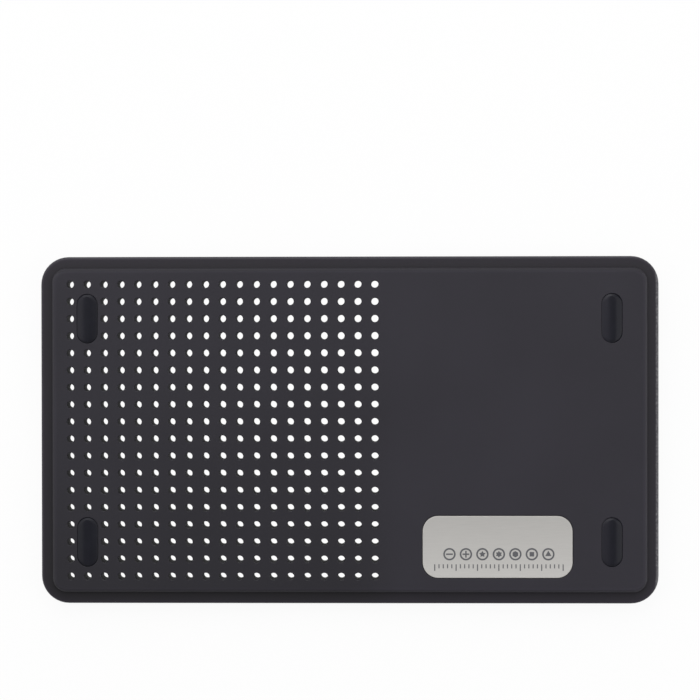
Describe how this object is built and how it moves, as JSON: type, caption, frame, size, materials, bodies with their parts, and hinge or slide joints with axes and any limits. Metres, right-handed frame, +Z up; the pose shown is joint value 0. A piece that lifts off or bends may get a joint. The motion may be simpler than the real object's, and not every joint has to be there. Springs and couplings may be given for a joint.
{
  "type": "screw tray",
  "caption": "Flat rectangular screw tray with a perforated half for standing small screws in, a plain half, an inlaid metal plate, a magnet sheet underneath and push-in rubber feet.",
  "frame": {"origin": "on the table, under the middle of the tray", "axes": "+X along the length, from the perforated end to the plain end; +Y towards the rear edge, away from the metal plate; +Z up"},
  "size_m": [0.145, 0.0816, 0.0061],
  "materials": {
    "black_plastic": "matte",
    "black_rubber": "satin",
    "brushed_steel": "satin",
    "glue_film": "satin",
    "magnet_rubber": "matte"
  },
  "bodies": {
    "root": {"tray_plate": "black_plastic", "foot_front_left": "black_rubber", "foot_front_right": "black_rubber", "foot_rear_left": "black_rubber", "foot_rear_right": "black_rubber", "nameplate": "brushed_steel", "nameplate_glue": "glue_film", "magnet_sheet": "magnet_rubber", "magnet_glue": "glue_film"}
  },
  "joints": []
}
